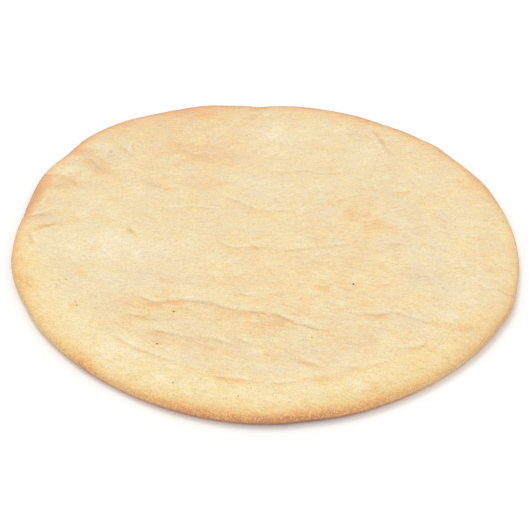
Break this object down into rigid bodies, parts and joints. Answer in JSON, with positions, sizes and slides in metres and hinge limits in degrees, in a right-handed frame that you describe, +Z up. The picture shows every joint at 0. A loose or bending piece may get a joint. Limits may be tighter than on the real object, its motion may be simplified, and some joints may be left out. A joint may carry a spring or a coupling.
{
  "type": "par-baked pizza crust",
  "caption": "Plain round pizza base, hand stretched and baked pale, with a low puffed rim, a browned edge, soft folds across its top and a flat underside.",
  "frame": {"origin": "centre of the crust's box, on the flat underside it rests on", "axes": "+Z up out of the top; +X to the right and -Y to the front as the crust is seen in the picture"},
  "size_m": [0.4024, 0.405, 0.0133],
  "materials": {
    "baked_dough": "matt, floury cream skin, browned on the edge"
  },
  "bodies": {
    "root": {"crust": "baked_dough"}
  },
  "joints": []
}
